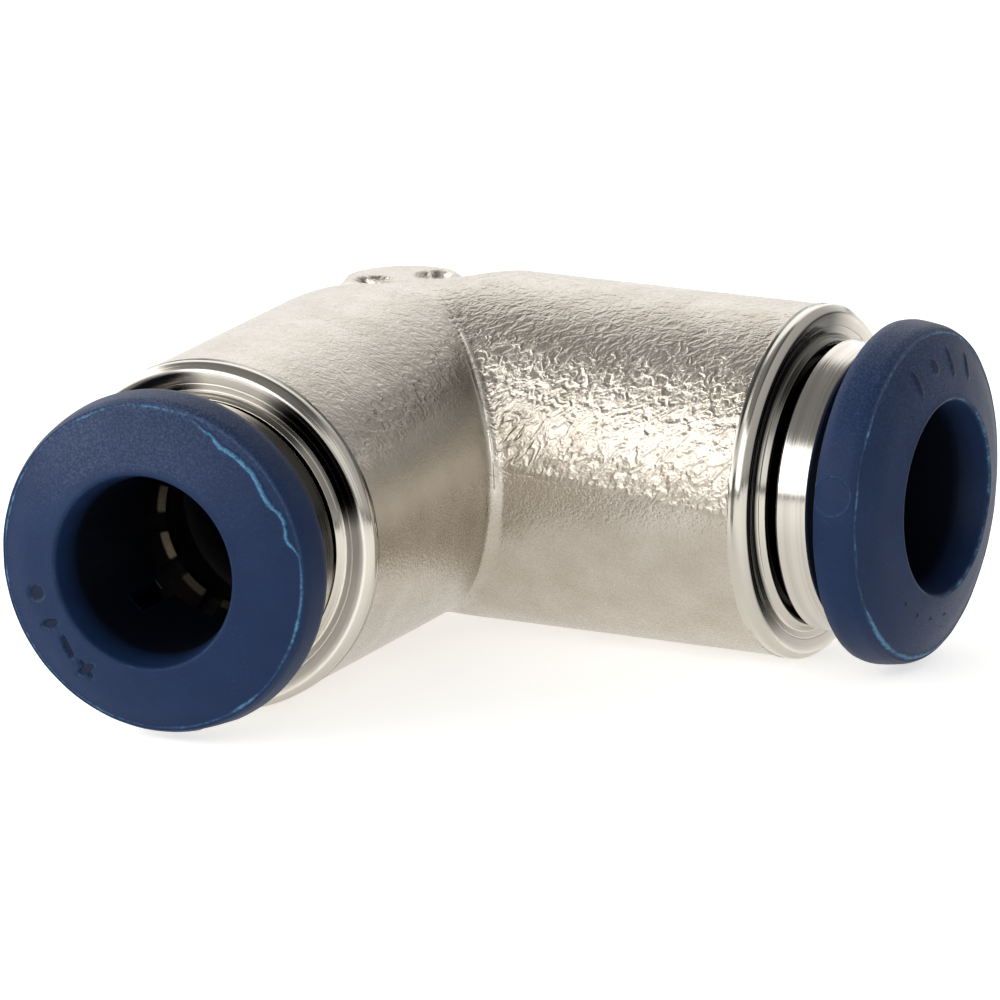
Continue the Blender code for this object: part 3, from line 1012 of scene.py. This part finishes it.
def collet_settings():
    """Where each collet sits, and where its marks, torn flash, dust and painted sheen are, in
    degrees.
    """
    return {
        "a": SimpleNamespace(
            back=18.86, seed=210, torn_at=math.radians(240), torn_in=0.06, mark_lift=0.045,
            mouth_flash=0.95, ejector_at=168, dusty_at=278,
            marks=[
                (60, 4.90, 0.56, 0.17, 0),
                (77, 4.85, 0.60, 0.17, 6),
                (93, 4.85, 0.32, 0.30, 0),
                (110, 4.85, 0.60, 0.17, -6),
                *((at, 4.4, 0.07, 0.07, 0) for at in (228, 243, 258, 273)),
            ],
        ),
        "b": SimpleNamespace(
            back=19.24, seed=340, torn_at=math.radians(137), torn_in=0.36, mark_lift=-0.13,
            mouth_flash=0.25, ejector_at=250, dusty_at=60,
            marks=[
                (343, 4.62, 0.46, 0.36, 0),
                (328, 4.55, 0.50, 0.20, 10),
                (315, 4.50, 0.19, 0.60, 20),
                (302, 4.66, 0.56, 0.19, 25),
                (302, 4.66, 0.19, 0.52, 25),
            ],
        ),
    }


def build_fitting():
    finish_piece(elbow_skin(), forged_nickel(), "body", "elbow_body")
    turned, steel, navy = turned_nickel(), spring_steel(), navy_plastic()
    rubber, acetal = black_rubber(), black_acetal()
    collets = collet_settings()
    for port in PORTS:
        finish_piece(guide_ring(port), turned, "body", f"guide_ring_{port}")
        finish_piece(backup_ring(port), acetal, "body", f"backup_ring_{port}")
        finish_piece(o_ring(port), rubber, "body", f"o_ring_{port}")
        finish_piece(grab_ring(port), steel, f"grab_{port}", f"grab_ring_{port}")
        collet = release_collet(port, collets[port])
        finish_piece(collet, navy, f"collet_{port}", f"release_collet_{port}")


# ---------------------------------------------------------------- studio

def floor():
    mesh = bpy.data.meshes.new("floor")
    shape = bmesh.new()
    bmesh.ops.create_grid(shape, x_segments=1, y_segments=1, size=FLOOR_REACH)
    shape.to_mesh(mesh)
    shape.free()
    plane = bpy.data.objects.new("floor", mesh)
    plane.location.z = BODY_LOW.z - FLOOR_GAP
    bpy.context.scene.collection.objects.link(plane)
    n = Nodes("pale_floor")
    plane.data.materials.append(
        n.set(
            Base_Color=(0.80, 0.80, 0.79, 1), Roughness=0.9, Specular_IOR_Level=0.0,
            Emission_Color=(1.0, 0.99, 0.97, 1), Emission_Strength=0.60,
        )
    )


def world_math(tree, operation, *values):
    made = tree.nodes.new("ShaderNodeMath")
    made.operation = operation
    for socket, value in zip(made.inputs, values):
        if isinstance(value, bpy.types.NodeSocket):
            tree.links.new(value, socket)
        else:
            socket.default_value = value
    return made.outputs[0]


def world_ramp(tree, source, *stops):
    """Near-neutral light of these strengths at these places, eased between them."""
    made = tree.nodes.new("ShaderNodeValToRGB")
    tree.links.new(source, made.inputs[0])
    made.color_ramp.interpolation = "EASE"
    elements = made.color_ramp.elements
    while len(elements) < len(stops):
        elements.new(0.5)
    for element, (at, value) in zip(elements, stops):
        element.position = at
        element.color = (value, value * 0.995, value * 0.985, 1.0)
    return made.outputs[0]


def front_share(tree, direction):
    """1 where a direction points to the photographer's side, and 0 behind the part."""
    dot = tree.nodes.new("ShaderNodeVectorMath")
    dot.operation = "DOT_PRODUCT"
    tree.links.new(direction, dot.inputs[0])
    dot.inputs[1].default_value = (-0.49, -0.87, 0.0)
    return world_ramp(tree, dot.outputs["Value"], (0.0, 0.0), (0.25, 1.0))


def studio_world():
    """Soft studio surroundings: a wide low softbox in front, dark above it, a pale wall behind."""
    world = bpy.data.worlds.new("studio")
    bpy.context.scene.world = world
    world.use_nodes = True
    tree = world.node_tree
    background = tree.nodes["Background"]
    direction = tree.nodes.new("ShaderNodeTexCoord").outputs["Generated"]
    split = tree.nodes.new("ShaderNodeSeparateXYZ")
    tree.links.new(direction, split.inputs[0])
    height = split.outputs["Z"]
    sideways = world_math(tree, "MULTIPLY_ADD", split.outputs["X"], 0.5, 0.5)
    front_rise = world_ramp(
        tree, height, (0.0, 0.04), (0.07, 0.07), (0.11, 0.95), (0.56, 0.95), (0.71, 0.07)
    )
    back_rise = world_ramp(
        tree, height, (0.0, 0.07), (0.04, 0.13), (0.10, 0.43), (0.72, 0.43), (0.87, 0.08)
    )
    front_side = world_ramp(tree, sideways, (0.52, 1.0), (0.75, 0.35))
    back_side = world_ramp(tree, sideways, (0.33, 1.0), (0.64, 0.36))
    mixed = tree.nodes.new("ShaderNodeMix")
    mixed.data_type = "RGBA"
    tree.links.new(front_share(tree, direction), mixed.inputs[0])
    tree.links.new(world_math(tree, "MULTIPLY", back_rise, back_side), mixed.inputs[6])
    tree.links.new(world_math(tree, "MULTIPLY", front_rise, front_side), mixed.inputs[7])
    tree.links.new(mixed.outputs[2], background.inputs["Color"])
    background.inputs["Strength"].default_value = LIGHT_STRENGTH


def camera():
    """A long lens at the photograph's viewing angle."""
    turn, rise, roll = (math.radians(k) for k in (CAMERA_TURN, CAMERA_RISE, CAMERA_ROLL))
    level = math.cos(rise)
    back = Vector((math.sin(turn) * level, -math.cos(turn) * level, math.sin(rise)))
    right = Vector((math.cos(turn), math.sin(turn), 0.0))
    up = back.cross(right)
    right, up = (
        right * math.cos(roll) + up * math.sin(roll),
        up * math.cos(roll) - right * math.sin(roll),
    )
    crossing = Vector((0.0, 0.0, AXIS_Z * MM))
    target = crossing + right * AIM_RIGHT * MM - up * AIM_DOWN * MM
    data = bpy.data.cameras.new("camera")
    data.sensor_width = SENSOR
    data.lens = CAMERA_DISTANCE * PIXELS_PER_METRE * SENSOR / PHOTO_PIXELS
    data.clip_end = 20.0
    made = bpy.data.objects.new("camera", data)
    pose = Matrix((right, up, back)).transposed().to_4x4()
    pose.translation = target + back * CAMERA_DISTANCE
    made.matrix_world = pose
    bpy.context.scene.collection.objects.link(made)
    bpy.context.scene.camera = made


bpy.context.scene.view_settings.view_transform = "Standard"
build_fitting()
floor()
studio_world()
camera()
